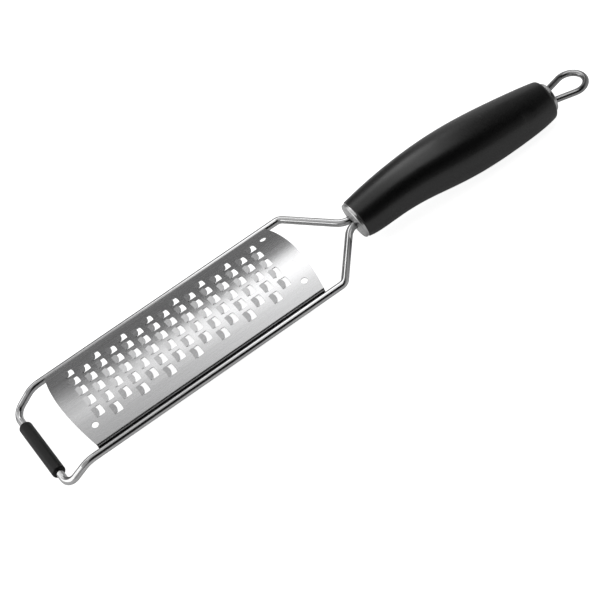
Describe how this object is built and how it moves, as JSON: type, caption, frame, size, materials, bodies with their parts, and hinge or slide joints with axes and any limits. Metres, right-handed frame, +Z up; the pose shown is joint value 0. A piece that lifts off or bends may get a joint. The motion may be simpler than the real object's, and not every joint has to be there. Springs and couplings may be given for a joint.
{
  "type": "rasp zester",
  "caption": "Hand rasp with an arched, toothed blade welded in a bent wire frame, a turning foot sleeve, a round soft grip and a wire hanging loop.",
  "frame": {"origin": "middle of the bounding box's underside, on the surface that the foot sleeve and the grip's belly lie on", "axes": "+X along the tool from the foot sleeve to the hanging loop, +Y across the blade, +Z up, out of the blade's toothed face"},
  "size_m": [0.3412, 0.068, 0.0324],
  "materials": {
    "blade_steel": "satin stainless",
    "wire_steel": "polished stainless",
    "cap_steel": "bright turned stainless",
    "sleeve_rubber": "matte black rubber",
    "grip_black": "soft-touch black with a faint sheen",
    "core_plastic": "moulded, hidden"
  },
  "bodies": {
    "grater": {"grating_blade": "blade_steel", "wire_frame": "wire_steel", "front_ferrule": "cap_steel", "handle_core": "core_plastic", "handle_grip": "grip_black", "rear_cap": "cap_steel", "hanging_loop": "wire_steel"},
    "sleeve": {"foot_sleeve": "sleeve_rubber"}
  },
  "joints": [
    {"name": "sleeve_turn", "type": "hinge", "parent": "grater", "child": "sleeve", "pos_m": [-0.16714, 0, 0.0035], "axis": [0, 1, 0], "continuous": true}
  ]
}
